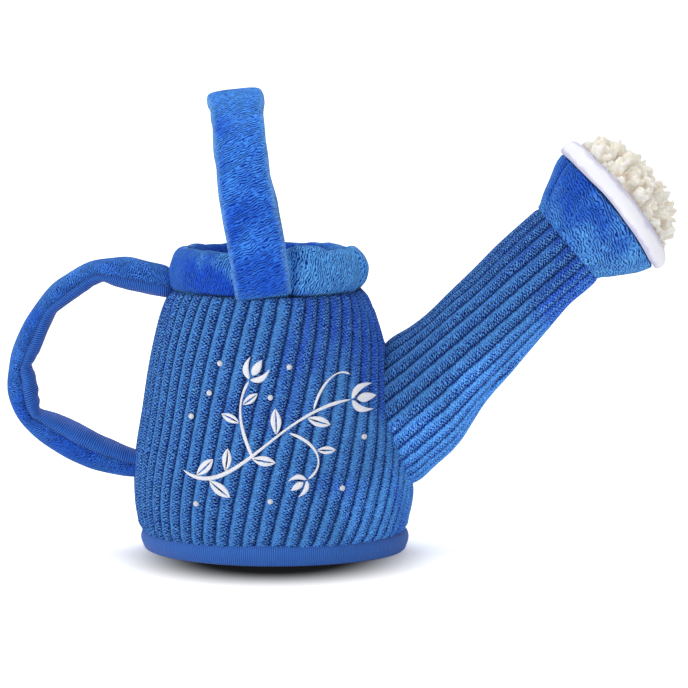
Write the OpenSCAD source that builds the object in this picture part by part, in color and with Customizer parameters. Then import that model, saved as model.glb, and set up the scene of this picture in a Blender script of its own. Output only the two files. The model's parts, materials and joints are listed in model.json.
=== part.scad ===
// A stuffed fabric watering can: a corduroy can with a padded collar, a spout that
// ends in a plush rose with a fleece face, a carrying strap and a side handle.
// Millimetres. +Z is up, +X points to the spout, and the origin is the centre of
// the base, on the surface that the can stands on.

/* [Can] */
// Diameter across the binding at the base
base_d = 100.6; // [94:0.2:108]
// Diameter of the body where the collar is sewn on
neck_d = 75.2; // [70:0.2:80]
// Height of the seam between the body and the collar
seam_z = 98.5; // [90:0.5:110]
// How far the stuffing swells the body near its base
belly_low = 6.5; // [3:0.1:8]
// How far the stuffing swells the body near its neck
belly_high = 3.4; // [1:0.1:5]
// Thickness of the corduroy
cord_t = 1.6; // [1.2:0.1:2.2]
// Thickness of the plush
plush_t = 1.4; // [1:0.1:1.8]

/* [Base] */
// Height of the binding round the base
binding_h = 8.5; // [6:0.5:11]
// Thickness of the binding
binding_t = 1.5; // [1.2:0.1:2]
// Radius of the binding's lower edge
binding_edge_r = 2.4; // [1.6:0.1:3]
// Width of the binding's turned-in flange under the can
binding_flange = 4.5; // [3.5:0.5:7]
// Thickness of the felt disc that keeps the base flat
stiffener_t = 2; // [1:0.5:3]

/* [Collar and pocket] */
// Height of the padded collar
collar_h = 16.5; // [13:0.5:20]
// Thickness of the collar from outside to inside
collar_w = 8.7; // [7:0.1:11]
// Radius of the collar's upper edges
collar_edge_r = 3.8; // [2.5:0.1:4]
// Depth of the pocket, from the top of the collar
pocket_depth = 50; // [35:1:60]
// Thickness of the pocket's lining
lining_t = 1; // [0.8:0.1:1.5]

/* [Spout] */
// Slope of the spout above level
spout_slope = 46.4; // [42:0.2:50]
// Distance from the can's axis to the spout's neck, measured along the spout
spout_reach = 163; // [150:1:180]
// Height at which the spout's axis would cross the can's axis
spout_cross_z = -0.8; // [-6:0.2:2]
// Diameter of the spout at its neck
spout_neck_d = 33.6; // [30:0.2:36]
// Angle between the spout's side and its axis
spout_taper = 3.55; // [2:0.05:4.5]
// Diameter of the hole through which the stuffing passes into the spout
spout_hole_d = 28; // [22:1:32]

/* [Rose] */
// Slope of the rose above level
rose_slope = 40; // [34:0.5:46]
// Length of the rose's cup from the neck to the rim
rose_len = 19; // [16:0.5:23]
// Diameter of the rose's cup at the rim
rose_d = 53; // [48:0.5:58]
// Diameter of the round bead of the rim
bead_d = 5.6; // [4:0.1:7]
// Thickness of the rim's seam flange
flange_t = 1; // [0.8:0.1:1.4]
// Height of the fleece dome above its seam
fleece_h = 19.5; // [14:0.5:23]

/* [Side handle] */
// Width of the side handle, across the can's middle plane
grip_w = 16; // [13:0.5:18]
// Thickness of the side handle
grip_t = 9; // [7.5:0.5:10]
// How far the side handle reaches from the can's axis, at the middle of its strap
grip_reach = 94.7; // [88:0.5:102]
// Height of the side handle's furthest point
grip_mid_z = 64; // [58:1:70]
// How far the side handle swings each way about its sewn ends, in degrees
grip_swing = 50; // [30:1:55]

/* [Carrying strap] */
// Width of the carrying strap
strap_w = 20.6; // [18:0.2:24]
// Thickness of the carrying strap
strap_t = 6.6; // [5.8:0.1:8]
// Height of the strap's arch above the point where it bends
strap_rise = 58.6; // [48:0.2:66]
// How far the strap leans towards the side handle, in degrees
strap_lean = 8.5; // [0:0.5:12]
// How far the strap's bend is from the can's axis, towards the side handle
strap_shift = 6.4; // [2:0.2:8]
// How far the strap's plane is turned about the can's axis, in degrees
strap_turn = 1.5; // [0:0.5:4]
// How far the strap swings each way from where it stands, in degrees
strap_swing = 55; // [30:1:60]

/* [Squeaker] */
// Diameter of the squeaker's bulb
bulb_d = 42; // [34:1:50]
// Height of the squeaker's bulb
bulb_h = 17; // [14:0.5:20]
// Thickness of the bulb's wall
bulb_wall = 0.9; // [0.6:0.1:1.2]
// Outer diameter of the plug that holds the reed
plug_d = 9; // [8:0.2:11]
// Bore of the plug
plug_bore = 6; // [5:0.2:7]

/* [Hidden] */

fit = 0.25;         // gap that keeps one curved layer clear of the next
seat_fit = 0.05;    // gap round the squeaker's plug
turn_gap = 0.35;    // gap between a handle's round end and its sewn root
far = 400;          // longer than anything in the part
body_steps = 14;    // straight steps in the body's side
cup_steps = 8;      // straight steps in the rose's side
bend_steps = 12;    // rings along each curved half of a handle
end_steps = 4;      // rings round each handle's end
skin_points = 11;   // points across one side of a handle's skin
square_n = 2.8;     // 2 makes a handle's section an ellipse, more makes it squarer
$fn = 72;

base_r = base_d / 2;
side_step = (seam_z - binding_h) / body_steps;
neck_r = neck_d / 2;
collar_top = seam_z + collar_h;
pocket_z = collar_top - pocket_depth;
floor_z = pocket_z - lining_t;
mouth_r = neck_r - 0.4 - collar_w;
collar_r = mouth_r + collar_w;
stiffener_z = binding_t;
stuffing_z = stiffener_z + stiffener_t;

spout_r = spout_neck_d / 2;
spout_root_s = 75;   // where the spout starts to round in towards its root
spout_tip_s = 50;    // where that rounding ends, well inside the body
neck_x = spout_reach * cos(spout_slope);
neck_z = spout_cross_z + spout_reach * sin(spout_slope);

rose_r = rose_d / 2;
bead_r = bead_d / 2;
bead_x = rose_r + 1.4;
fleece_r = bead_x - bead_r - fit;

grip_r = grip_w / 2;
grip_top = [-(collar_r + grip_r + 2.8), seam_z + 3.8];
grip_low_z = 36.8;
grip_low = [-(body_r(grip_low_z) + grip_r + 3.2), grip_low_z];
grip_up = (grip_top - grip_low) / norm(grip_top - grip_low);
grip_out = [-grip_up.y, grip_up.x];
grip_tilt = atan2(grip_up.x, grip_up.y);

strap_r = strap_w / 2;
strap_y = collar_r + fit + strap_t / 2;
strap_bend_z = collar_top - 2;
strap_root_h = strap_bend_z - seam_z - fit;

bulb_z = stuffing_z + 14;
bulb_edge = bulb_h / 2;
plug_flange_d = plug_d + 4;
plug_flange_t = 1.2;
plug_len = 9;
reed_t = 0.3;
reed_w = 3.6;
reed_len = 7;

// ---- the can's side ----

// Outer radius of the body at height z: a straight taper, swelled like a cushion.
function body_r(z) =
    let (t = (z - binding_h) / (seam_z - binding_h),
         swell = pow(max(0, 1 - pow(abs(2 * t - 1), 3.2)), 0.8))
    base_r + (neck_r - base_r) * t + (belly_low + (belly_high - belly_low) * t) * swell;

// Radius at height z on the straight steps that the side is made of.
function side_r(z) =
    let (i = min(body_steps - 1, floor((z - binding_h) / side_step)),
         low = binding_h + i * side_step,
         share = (z - low) / side_step)
    body_r(low) * (1 - share) + body_r(low + side_step) * share;

// Points up the body's side between two heights, moved out by grow. Every layer
// turns at the same heights, so that one layer stays clear of the next.
function side_points(z0, z1, grow = 0) =
    concat([[side_r(z0) + grow, z0]],
           [for (i = [1:body_steps - 1]) let (z = binding_h + i * side_step)
               if (z > z0 + fit && z < z1 - fit) [body_r(z) + grow, z]],
           [[side_r(z1) + grow, z1]]);

function reversed(points) = [for (i = [len(points) - 1:-1:0]) points[i]];

// The solid inside a layer of the body's side, with the collar above it.
module body_inside(grow = 0) {
    rotate_extrude()
        polygon(concat([[0, 0], [base_r + grow, 0]], side_points(binding_h, seam_z, grow),
                       [[0, seam_z]]));
}

module collar_inside(grow = 0) {
    translate([0, 0, seam_z - 1])
        cylinder(r = collar_r + grow, h = collar_h + 1);
}

module body_panel() {
    color("royalblue")
    difference() {
        rotate_extrude()
            polygon(concat(side_points(binding_h, seam_z),
                           reversed(side_points(binding_h, seam_z, -cord_t))));
        along_spout(0)
            cylinder(d = spout_hole_d, h = far);
    }
}

// ---- the base ----

module base_binding() {
    color("cornflowerblue")
    rotate_extrude()
    union() {
        difference() {
            union() {
                translate([base_r - binding_t, binding_edge_r])
                    square([binding_t, binding_h - binding_edge_r]);
                translate([base_r - binding_edge_r, binding_edge_r])
                    circle(r = binding_edge_r);
            }
            translate([0, binding_t])
                square([base_r - binding_t, binding_h]);
        }
        translate([base_r - binding_edge_r - binding_flange, 0])
            square([binding_flange, binding_t]);
    }
}

module base_panel() {
    color("royalblue")
    cylinder(r = base_r - binding_edge_r - binding_flange - fit, h = binding_t);
}

module base_stiffener() {
    color("gainsboro")
    translate([0, 0, stiffener_z])
        cylinder(r = base_r - binding_t - fit, h = stiffener_t);
}

// ---- stuffing and pocket ----

module belly_stuffing() {
    color("white")
    difference() {
        rotate_extrude()
            polygon(concat([[0, stuffing_z], [base_r - binding_t - fit, stuffing_z]],
                           side_points(binding_h, floor_z, -cord_t - fit), [[0, floor_z]]));
        translate([0, 0, bulb_z])
            bulb_shape(fit);
        translate([0, 0, bulb_z])
            cylinder(d = plug_flange_d + 2 * fit, h = bulb_edge + plug_flange_t + 2 * fit);
    }
}

module pocket_padding() {
    color("white")
    rotate_extrude()
        polygon(concat([[mouth_r + lining_t + fit, floor_z]],
                       side_points(floor_z, seam_z, -cord_t - fit),
                       [[mouth_r + lining_t + fit, seam_z]]));
}

module pocket_lining() {
    color("mediumblue")
    translate([0, 0, pocket_z])
    difference() {
        cylinder(r = mouth_r + lining_t, h = seam_z - pocket_z);
        translate([0, 0, -1])
            cylinder(r = mouth_r, h = seam_z - pocket_z + 2);
    }
}

module pocket_floor() {
    color("mediumblue")
    translate([0, 0, floor_z])
        cylinder(r = mouth_r + lining_t, h = lining_t);
}

// ---- the collar ----

// Section of the collar: a block with round upper edges, standing on its seam.
module collar_section(inset) {
    edge = collar_edge_r - inset;
    wide = collar_w - 2 * inset;
    tall = collar_h - inset;
    translate([mouth_r + inset, 0])
    union() {
        square([wide, tall - edge]);
        translate([edge, 0])
            square([wide - 2 * edge, tall]);
        translate([edge, tall - edge])
            circle(r = edge);
        translate([wide - edge, tall - edge])
            circle(r = edge);
    }
}

module collar_cover() {
    color("dodgerblue")
    translate([0, 0, seam_z])
    rotate_extrude()
    difference() {
        collar_section(0);
        collar_section(plush_t);
    }
}

module collar_padding() {
    color("white")
    translate([0, 0, seam_z])
    rotate_extrude()
        collar_section(plush_t + fit);
}

// ---- the spout ----

// Places its children with +Z along the spout, s millimetres from the can's axis.
module along_spout(s) {
    translate([0, 0, spout_cross_z])
        rotate([0, 90 - spout_slope, 0])
            translate([0, 0, s])
                children();
}

// Places its children with +Z along the rose, at the middle of the neck.
module along_rose() {
    translate([neck_x, 0, neck_z])
        rotate([0, 90 - rose_slope, 0])
            children();
}

// Radius of the spout s millimetres along it, rounding in below spout_root_s.
function spout_side_r(s) =
    let (straight = spout_r + (spout_reach - s) * tan(spout_taper),
         u = max(0, (spout_root_s - s) / (spout_root_s - spout_tip_s)))
    straight - 0.42 * spout_r * u * u;

function spout_points(grow) =
    let (last = spout_reach + spout_r)
    concat([for (i = [0:5]) let (s = spout_tip_s + (spout_root_s - spout_tip_s) * i / 5)
               [spout_side_r(s) + grow, s]],
           [[spout_side_r(last) + grow, last]]);

// The outside of the spout, cut off square to the rose at the neck.
module spout_inside(grow = 0) {
    difference() {
        along_spout(0)
            rotate_extrude()
                polygon(concat([[0, spout_tip_s]], spout_points(grow),
                               [[0, spout_reach + spout_r]]));
        along_rose()
            translate([-far / 2, -far / 2, 0])
                cube(far);
    }
}

module spout_panel() {
    color("royalblue")
    difference() {
        spout_inside();
        spout_inside(-cord_t);
        body_inside(fit);
    }
}

module spout_stuffing() {
    color("white")
    difference() {
        union() {
            difference() {
                spout_inside(-cord_t - fit);
                body_inside(fit);
            }
            along_spout(spout_tip_s)
                cylinder(d = spout_hole_d - 2 * fit, h = spout_reach / 2 - spout_tip_s + 10);
        }
        body_inside(-cord_t);
    }
}

// ---- the rose ----

function cup_r(s) = spout_r + (rose_r - spout_r) * sin(90 * s / rose_len);

function cup_points(grow) =
    [for (i = [0:cup_steps]) let (s = rose_len * i / cup_steps) [cup_r(s) + grow, s]];

module rose_panel(side) {
    color("dodgerblue")
    along_rose()
        rotate([0, 0, side > 0 ? 0 : 180])
            rotate_extrude(angle = 180)
                polygon(concat(cup_points(0), reversed(cup_points(-plush_t))));
}

module rose_panel_front() rose_panel(-1);

module rose_panel_back() rose_panel(1);

module rose_stuffing() {
    color("white")
    along_rose()
        rotate_extrude()
            polygon(concat([[0, 0]], cup_points(-plush_t - fit), [[0, rose_len]]));
}

module rose_rim() {
    color("white")
    along_rose()
        rotate_extrude()
        union() {
            translate([bead_x, rose_len + bead_r])
                circle(r = bead_r);
            translate([rose_r - 4, rose_len])
                square([bead_x - rose_r + 4, flange_t]);
        }
}

module rose_fleece() {
    color("antiquewhite")
    along_rose()
        translate([0, 0, rose_len + flange_t])
            rotate_extrude()
                polygon(concat([[0, 0]],
                    [for (a = [0:7.5:90]) [fleece_r * squarer(cos(a)), fleece_h * squarer(sin(a))]]));
}

// ---- bent straps ----

function bezier(p, t) =
    pow(1 - t, 3) * p[0] + 3 * t * pow(1 - t, 2) * p[1] + 3 * t * t * (1 - t) * p[2] + pow(t, 3) * p[3];

function bezier_way(p, t) =
    let (d = pow(1 - t, 2) * (p[1] - p[0]) + 2 * t * (1 - t) * (p[2] - p[1]) + t * t * (p[3] - p[2]))
    d / norm(d);

function squarer(c) = sign(c) * pow(abs(c), 2 / square_n);

// One ring of a strap: a superellipse half_w by half_t, from angle a0 to a1. The
// strap's middle is at p and runs along way, in a plane of its own, where the
// width lies across that plane.
function strap_arc(p, way, half_w, half_t, a0, a1, points) =
    [for (i = [0:points - 1])
        let (a = a0 + (a1 - a0) * i / (points - 1),
             out = half_t * squarer(sin(a)))
        [p.x - way.y * out, half_w * squarer(cos(a)), p.y + way.x * out]];

// The rings' stations: [middle, way, half width], with a round end at each end.
function strap_stations(halves, half_w) =
    let (start = halves[0][0], w0 = bezier_way(halves[0], 0),
         finish = halves[1][3], w1 = bezier_way(halves[1], 1),
         turn = 62 / end_steps)
    concat(
        [for (i = [end_steps:-1:1]) [start - w0 * half_w * sin(turn * i), w0, half_w * cos(turn * i)]],
        [for (h = [0, 1]) for (i = [h:bend_steps])
            [bezier(halves[h], i / bend_steps), bezier_way(halves[h], i / bend_steps), half_w]],
        [for (i = [1:end_steps]) [finish + w1 * half_w * sin(turn * i), w1, half_w * cos(turn * i)]]);

// Joins rings of equal size into one closed solid. Split rings have their first
// half outside and their second half inside, and get caps of short quads.
module skin_rings(rings, split) {
    k = len(rings[0]);
    last = (len(rings) - 1) * k;
    sides = [for (i = [0:len(rings) - 2]) for (j = [0:k - 1])
        let (a = i * k + j, b = i * k + (j + 1) % k)
        each [[a, b, b + k], [a, b + k, a + k]]];
    caps = split
        ? [for (j = [0:k / 2 - 2]) let (c = k - 1 - j)
            each [[j, c, j + 1], [j + 1, c, c - 1],
                  [last + j, last + j + 1, last + c], [last + j + 1, last + c - 1, last + c]]]
        : [for (j = [1:k - 2]) each [[0, j + 1, j], [last, last + j, last + j + 1]]];
    polyhedron(points = [for (r = rings) each r], faces = concat(sides, caps));
}

// One side of a strap's skin, from angle a0 to a1 round its section.
module strap_skin(halves, half_w, half_t, skin, a0, a1) {
    skin_rings([for (s = strap_stations(halves, half_w))
        concat(strap_arc(s[0], s[1], s[2], half_t, a0, a1, skin_points),
               strap_arc(s[0], s[1], s[2] - skin, half_t - skin, a1, a0, skin_points))], true);
}

module strap_core(halves, half_w, half_t, inset) {
    skin_rings([for (s = strap_stations(halves, half_w))
        strap_arc(s[0], s[1], s[2] - inset, half_t - inset, 0, 342, 20)], false);
}

// Section of a strap lying flat, as a block with round edges.
module strap_block(wide, thick, long) {
    edge = thick * 0.3;
    linear_extrude(height = long)
    union() {
        square([wide - 2 * edge, thick], center = true);
        square([wide, thick - 2 * edge], center = true);
        for (x = [-1, 1]) for (y = [-1, 1])
            translate([x * (wide / 2 - edge), y * (thick / 2 - edge)])
                circle(r = edge);
    }
}

// ---- the side handle ----

grip_halves = [
    [grip_top, grip_top + 30 * grip_out, [-grip_reach, grip_mid_z + 25], [-grip_reach, grip_mid_z]],
    [[-grip_reach, grip_mid_z], [-grip_reach, grip_mid_z - 16], grip_low + 18 * grip_out, grip_low]
];

module side_handle_plush() {
    color("mediumblue")
    strap_skin(grip_halves, grip_r, grip_t / 2, plush_t, 180, 360);
}

module side_handle_ribbed() {
    color("cornflowerblue")
    strap_skin(grip_halves, grip_r, grip_t / 2, plush_t, 0, 180);
}

module side_handle_padding() {
    color("white")
    strap_core(grip_halves, grip_r, grip_t / 2, plush_t + fit);
}

// The sewn end between the can and the handle's round end at the point p.
module side_handle_root(p) {
    color("mediumblue")
    difference() {
        translate([p.x, 0, p.y])
        rotate([0, grip_tilt, 0])
        difference() {
            rotate([0, 90, 0])
                rotate([0, 0, 90])
                    strap_block(grip_w, grip_t, grip_r * 2.5);
            translate([0, 0, -grip_t])
                cylinder(r = grip_r + turn_gap, h = 2 * grip_t);
            for (a = [-grip_swing, grip_swing])
                rotate([0, 0, a])
                    translate([-far, -grip_r - turn_gap, -grip_t])
                        cube([far, grip_w + 2 * turn_gap, 2 * grip_t]);
        }
        body_inside(fit);
        collar_inside(fit);
    }
}

module side_handle_root_top() side_handle_root(grip_top);

module side_handle_root_bottom() side_handle_root(grip_low);

// ---- the carrying strap ----

strap_halves = [
    [[-strap_y, 0], [-strap_y, 36], [-14, strap_rise], [0, strap_rise]],
    [[0, strap_rise], [14, strap_rise], [strap_y, 36], [strap_y, 0]]
];

// Places its children, drawn with the strap's plane as XZ, where the strap stands.
module at_strap() {
    rotate([0, 0, strap_turn])
        translate([-strap_shift, 0, strap_bend_z])
            rotate([0, -strap_lean, 0])
                children();
}

module across_can() {
    rotate([0, 0, 90])
        children();
}

module carry_strap_plush() {
    color("dodgerblue")
    at_strap()
        across_can()
            strap_skin(strap_halves, strap_r, strap_t / 2, plush_t, 0, 180);
}

module carry_strap_backing() {
    color("cornflowerblue")
    at_strap()
        across_can()
            strap_skin(strap_halves, strap_r, strap_t / 2, plush_t, 180, 360);
}

module carry_strap_padding() {
    color("white")
    at_strap()
        across_can()
            strap_core(strap_halves, strap_r, strap_t / 2, plush_t + fit);
}

// The strap's end, sewn into the seam under the collar.
module carry_strap_root(side) {
    color("dodgerblue")
    difference() {
        at_strap()
        translate([0, side * strap_y, 0])
        difference() {
            translate([0, 0, -strap_root_h])
                strap_block(strap_w, strap_t, strap_root_h);
            rotate([90, 0, 0])
                translate([0, 0, -strap_t])
                    cylinder(r = strap_r + turn_gap, h = 2 * strap_t);
            for (a = [-strap_swing, strap_swing])
                rotate([0, a, 0])
                    translate([-strap_r - turn_gap, -strap_t, 0])
                        cube([strap_w + 2 * turn_gap, 2 * strap_t, far]);
        }
        body_inside(fit);
    }
}

module carry_strap_root_front() carry_strap_root(-1);

module carry_strap_root_rear() carry_strap_root(1);

// ---- the squeaker ----

// A flat round bulb with a full round edge, its middle at the origin.
module bulb_shape(grow) {
    half = bulb_edge + grow;
    rotate_extrude()
    union() {
        translate([bulb_d / 2 - bulb_edge, 0])
            intersection() {
                circle(r = half);
                translate([0, -half])
                    square(2 * half);
            }
        translate([0, -half])
            square([bulb_d / 2 - bulb_edge, 2 * half]);
    }
}

module squeaker_bulb() {
    color("gold")
    translate([0, 0, bulb_z])
    difference() {
        bulb_shape(0);
        bulb_shape(-bulb_wall);
        cylinder(d = plug_d + 2 * seat_fit, h = bulb_h);
    }
}

module squeaker_plug() {
    color("white")
    translate([0, 0, bulb_z + bulb_edge])
    difference() {
        union() {
            translate([0, 0, plug_flange_t - plug_len])
                cylinder(d = plug_d, h = plug_len);
            cylinder(d = plug_flange_d, h = plug_flange_t);
        }
        intersection() {
            translate([0, 0, -plug_len])
                cylinder(d = plug_bore, h = 2 * plug_len);
            translate([-plug_d, 0, -plug_len])
                cube([2 * plug_d, plug_d, 2 * plug_len]);
        }
    }
}

module squeaker_reed() {
    color("gold")
    translate([-reed_w / 2, 0, bulb_z + bulb_edge - reed_len])
        cube([reed_w, reed_t, reed_len]);
}

body_panel();
base_binding();
base_panel();
base_stiffener();
belly_stuffing();
pocket_padding();
pocket_lining();
pocket_floor();
collar_cover();
collar_padding();
spout_panel();
spout_stuffing();
rose_panel_front();
rose_panel_back();
rose_stuffing();
rose_rim();
rose_fleece();
side_handle_plush();
side_handle_ribbed();
side_handle_padding();
side_handle_root_top();
side_handle_root_bottom();
carry_strap_plush();
carry_strap_backing();
carry_strap_padding();
carry_strap_root_front();
carry_strap_root_rear();
squeaker_bulb();
squeaker_plug();
squeaker_reed();
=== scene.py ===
import bpy
import bmesh
import json
import random
from math import acos, atan2, ceil, copysign, cos, exp, hypot, pi, radians, sin, sqrt, tan, tau
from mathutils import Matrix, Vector, noise


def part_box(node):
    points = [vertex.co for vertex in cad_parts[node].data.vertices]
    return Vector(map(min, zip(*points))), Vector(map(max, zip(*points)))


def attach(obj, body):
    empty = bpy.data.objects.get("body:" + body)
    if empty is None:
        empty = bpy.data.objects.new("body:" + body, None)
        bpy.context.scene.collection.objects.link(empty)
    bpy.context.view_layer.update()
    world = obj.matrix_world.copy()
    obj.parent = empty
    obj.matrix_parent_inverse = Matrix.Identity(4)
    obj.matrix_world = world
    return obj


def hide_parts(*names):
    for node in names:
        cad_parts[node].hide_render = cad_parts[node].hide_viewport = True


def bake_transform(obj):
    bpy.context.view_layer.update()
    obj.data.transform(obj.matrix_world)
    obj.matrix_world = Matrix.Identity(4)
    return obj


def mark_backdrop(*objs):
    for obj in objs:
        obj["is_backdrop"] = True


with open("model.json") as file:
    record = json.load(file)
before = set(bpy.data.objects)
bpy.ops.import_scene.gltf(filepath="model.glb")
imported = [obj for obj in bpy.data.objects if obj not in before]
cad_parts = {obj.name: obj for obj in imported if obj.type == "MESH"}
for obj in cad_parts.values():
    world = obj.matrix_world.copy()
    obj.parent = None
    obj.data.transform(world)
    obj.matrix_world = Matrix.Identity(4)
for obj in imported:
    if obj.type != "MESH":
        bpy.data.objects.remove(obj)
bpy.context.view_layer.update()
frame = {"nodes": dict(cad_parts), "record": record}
mm = 0.001
print("frame loaded")

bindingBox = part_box("base_binding")
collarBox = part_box("collar_cover")
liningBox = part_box("pocket_lining")
hinges = {joint["name"]: {"joint": Vector(joint["pos_m"]), "hinge": Vector(joint["axis"])}
          for joint in frame["record"]["behaviour"]["joints"]}
front = Vector((0, -1, 0))


# numbers that turn up everywhere
def clamp(value, low=0, high=1):
    return max(low, min(high, value))


def smooth(value, low=0, high=1):
    t = clamp((value - low) / (high - low))
    return t * t * (3 - 2 * t)


def mix(a, b, share):
    return a * (1 - share) + b * share


def bump(value, middle, width):
    return exp(-((value - middle) / width) ** 2)


def turnBump(angle, middle, width):  # a bump on a circle, width in radians
    return bump(2 * sin((angle - middle) / 2), 0, width)


# several bumps: each row is a middle, a width and a height
def bumps(rows, value, shape=bump):
    return sum(height * shape(value, middle, width) for middle, width, height in rows)


# bulges and hollows on a tube: each row is a bump along it, a bump round it and a height in millimetres
def swellings(rows, along, angle):
    return mm * sum(height * bump(along, middle, width) * turnBump(angle, turn, spread)
                    for middle, width, turn, spread, height in rows)


# how near an angle is to any of these seams
def seams(angle, width, *turns):
    return sum(turnBump(angle, turn, width) for turn in turns)


def closing(share, cap):  # 1 along a piece, down to 0 where its two ends round off
    return sin(pi / 2 * clamp(min(share, 1 - share) / cap))


def ripple(point, size, seed=0):
    return noise.noise(point / size + Vector((seed, seed * 1.7, -seed)))


def roundedBox(angle, power=2):
    c, s = cos(angle), sin(angle)
    return copysign(abs(c) ** (2 / power), c), copysign(abs(s) ** (2 / power), s)


def bezier(p, t):
    q = 1 - t
    return p[0] * q ** 3 + p[1] * (3 * t * q * q) + p[2] * (3 * t * t * q) + p[3] * t ** 3


# equal steps along a line of spots: a spot's number, the share of the way to the next, and the length walked
def evenSteps(spots, steps):
    walked = [0]
    for a, b in zip(spots, spots[1:]):
        walked.append(walked[-1] + (b - a).length)
    stops, k = [], 0
    for i in range(steps + 1):
        want = walked[-1] * i / steps
        while k < len(spots) - 2 and walked[k + 1] < want:
            k += 1
        span = walked[k + 1] - walked[k]
        stops.append((k, clamp((want - walked[k]) / span) if span else 0, want))
    return stops


# angles that divide an outline into equal steps, and the outline's length in millimetres
def evenTurns(outline, start, end, steps):
    turns = [mix(start, end, k / 360) for k in range(361)]
    stops = evenSteps([Vector(outline(turn)) for turn in turns], steps)
    return [mix(turns[k], turns[k + 1], share) for k, share, _ in stops], stops[-1][2] / mm


def evenPoints(path, steps):
    fine = [bezier(piece, k / 60) for piece in path for k in range(61)]
    return [(fine[k].lerp(fine[k + 1], share), walked) for k, share, walked in evenSteps(fine, steps)]


# meshes
def addPiece(bm, name, material):
    for face in bm.faces:
        face.smooth = True
    mesh = bpy.data.meshes.new(name)
    bm.to_mesh(mesh)
    bm.free()
    mesh.materials.append(material)
    piece = bpy.data.objects.new(name, mesh)
    bpy.context.scene.collection.objects.link(piece)
    return piece


# cloth is a flat grid laid in place: place(s, t) gives a point and its spot on the flat cloth
def layGrid(bm, columns, rows, place):
    old = set(bm.faces)
    verts = bmesh.ops.create_grid(bm, x_segments=columns, y_segments=rows, size=0.5)["verts"]
    new = [face for face in bm.faces if face not in old]
    middle = min(new, key=lambda face: face.calc_center_median().length)
    uv = bm.loops.layers.uv["cloth"]
    spots = {v: place(clamp(v.co.x + 0.5), clamp(v.co.y + 0.5)) for v in verts}
    for face in new:
        for loop in face.loops:
            loop[uv].uv = spots[loop.vert][1]
    for v, spot in spots.items():
        v.co = spot[0]
    return middle


def clothGrid(name, columns, rows, place, material, shell=0):
    bm = bmesh.new()
    bm.loops.layers.uv.new("cloth")
    middle = layGrid(bm, columns, rows, place)
    bm.normal_update()
    facing = middle.normal * shell  # an open cloth keeps the side it was laid with
    bmesh.ops.remove_doubles(bm, verts=bm.verts, dist=0.02 * mm)
    bmesh.ops.recalc_face_normals(bm, faces=bm.faces)
    if shell and middle.normal.dot(facing) < 0:
        bmesh.ops.reverse_faces(bm, faces=bm.faces)
    return addPiece(bm, name, material)


def applyModifiers(piece):
    evaluated = piece.evaluated_get(bpy.context.evaluated_depsgraph_get())
    mesh = bpy.data.meshes.new_from_object(evaluated)
    piece.modifiers.clear()
    piece.data = mesh
    return piece


def thicken(piece, thickness):
    wall = piece.modifiers.new("wall", "SOLIDIFY")
    wall.thickness = thickness
    wall.offset = -1
    return applyModifiers(piece)


def describe(slot, nodes=(), fill=None):
    if nodes:
        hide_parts(*nodes)


def settle(piece, body, slot, nodes=(), fill=None):
    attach(piece, body)
    describe(slot, nodes, fill)


# a piece of the can: cloth with a wall, or the closed face of something stuffed
def addCloth(name, columns, rows, place, material, slot, node, shell=0, wall=None, fill=None):
    piece = clothGrid(name, columns, rows, place, material, shell)
    if wall:
        thicken(piece, wall)
    settle(piece, "can", slot, [node], fill)


# shader nodes in one line each; a node that works on a value goes into that value's tree
def put(tree, kind, inputs={}, **settings):
    node = tree.nodes.new("ShaderNode" + kind)
    for key, value in settings.items():
        setattr(node, key, value)
    for key, value in inputs.items():
        if isinstance(value, bpy.types.NodeSocket):
            tree.links.new(value, node.inputs[key])
        else:
            node.inputs[key].default_value = value
    return node


def calc(operation, *values):
    tree = next(value.id_data for value in values if isinstance(value, bpy.types.NodeSocket))
    return put(tree, "Math", dict(enumerate(values)), operation=operation).outputs[0]


def times(a, b):
    return calc("MULTIPLY", a, b)


def plus(a, b):
    return calc("ADD", a, b)


def linear(value, gain, offset):
    return calc("MULTIPLY_ADD", value, gain, offset)


def vectorCalc(operation, *values):
    node = put(values[0].id_data, "VectorMath", dict(enumerate(values)), operation=operation)
    return node.outputs["Value" if operation in ("DOT_PRODUCT", "LENGTH") else "Vector"]


def remap(value, low, high, toLow=0, toHigh=1):
    inputs = dict(enumerate((value, low, high, toLow, toHigh)))
    return put(value.id_data, "MapRange", inputs, interpolation_type="SMOOTHSTEP").outputs[0]


def blendColor(share, a, b):
    return put(share.id_data, "Mix", {0: share, 6: a, 7: b}, data_type="RGBA").outputs[2]


def brighten(color, value):
    return put(value.id_data, "HueSaturation", {"Value": value, "Color": color}).outputs[0]


def noiseMask(place, scale, detail=2, distortion=0):
    inputs = {"Vector": place, "Scale": scale, "Detail": detail, "Distortion": distortion}
    return put(place.id_data, "TexNoise", inputs).outputs[0]


def noiseAround(place, scale, reach, detail=2):  # noise on both sides of zero
    return linear(noiseMask(place, scale, detail), 2 * reach, -reach)


def splitAxes(place):
    return put(place.id_data, "SeparateXYZ", {0: place}).outputs


def joinAxes(x, y):
    return put(x.id_data, "CombineXYZ", {0: x, 1: y}).outputs[0]


def objectPlace(tree):
    return put(tree, "TexCoord").outputs["Object"]


def flatCloth(tree):
    return put(tree, "UVMap", uv_map="cloth").outputs[0]


def srgb(red, green, blue):
    channels = [c / 255 for c in (red, green, blue)]
    return tuple(c / 12.92 if c <= 0.04045 else ((c + 0.055) / 1.055) ** 2.4 for c in channels) + (1,)


# a group of nodes with the cloth's spot and these values going in, and masks coming out
def newGroup(name, *labels):
    group = bpy.data.node_groups.new(name, "ShaderNodeTree")
    for label, kind in (("cloth", "Vector"), *((label, "Float") for label in labels)):
        group.interface.new_socket(label, in_out="INPUT", socket_type="NodeSocket" + kind)
    return group, group.nodes.new("NodeGroupInput").outputs


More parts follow.
